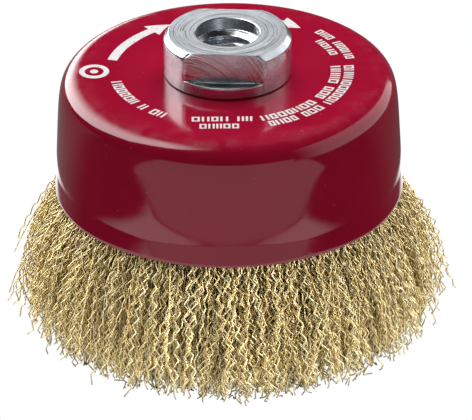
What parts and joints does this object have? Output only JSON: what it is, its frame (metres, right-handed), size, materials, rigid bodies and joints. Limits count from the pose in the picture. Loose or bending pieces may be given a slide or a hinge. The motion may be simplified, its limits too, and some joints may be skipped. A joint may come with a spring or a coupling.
{
  "type": "crimped wire cup brush",
  "caption": "Cup brush for an angle grinder: red pressed-steel cup with a threaded hub nut and a flared skirt of crimped brassed wire.",
  "frame": {"origin": "on the axis of rotation, in the plane of the wire tips, which is the centre of the bottom of the bounding box", "axes": "+Z along the axis of rotation from the wire tips to the hub nut; the two spanner flats of the nut face -Y and +Y"},
  "size_m": [0.1, 0.1, 0.0676],
  "materials": {
    "cup_enamel": "gloss",
    "nut_zinc": "satin",
    "inner_zinc": "satin",
    "ring_steel": "satin",
    "wire_brassed": "satin",
    "print_white": "satin"
  },
  "bodies": {
    "root": {"outer_cup": "cup_enamel", "inner_cup": "inner_zinc", "retaining_ring": "ring_steel", "hub_nut": "nut_zinc", "wire_bundle_01": "wire_brassed", "wire_bundle_02": "wire_brassed", "wire_bundle_03": "wire_brassed", "wire_bundle_04": "wire_brassed", "wire_bundle_05": "wire_brassed", "wire_bundle_06": "wire_brassed", "wire_bundle_07": "wire_brassed", "wire_bundle_08": "wire_brassed", "wire_bundle_09": "wire_brassed", "wire_bundle_10": "wire_brassed", "wire_bundle_11": "wire_brassed", "wire_bundle_12": "wire_brassed", "wire_bundle_13": "wire_brassed", "wire_bundle_14": "wire_brassed", "wire_bundle_15": "wire_brassed", "wire_bundle_16": "wire_brassed", "wire_bundle_17": "wire_brassed", "wire_bundle_18": "wire_brassed", "wire_bundle_19": "wire_brassed", "wire_bundle_20": "wire_brassed", "wire_bundle_21": "wire_brassed", "wire_bundle_22": "wire_brassed", "wire_bundle_23": "wire_brassed", "wire_bundle_24": "wire_brassed", "wire_bundle_25": "wire_brassed", "wire_bundle_26": "wire_brassed", "wire_bundle_27": "wire_brassed", "wire_bundle_28": "wire_brassed", "wire_bundle_29": "wire_brassed", "wire_bundle_30": "wire_brassed", "wire_bundle_31": "wire_brassed", "wire_bundle_32": "wire_brassed", "wire_bundle_33": "wire_brassed", "wire_bundle_34": "wire_brassed", "wire_bundle_35": "wire_brassed", "wire_bundle_36": "wire_brassed"}
  },
  "joints": []
}
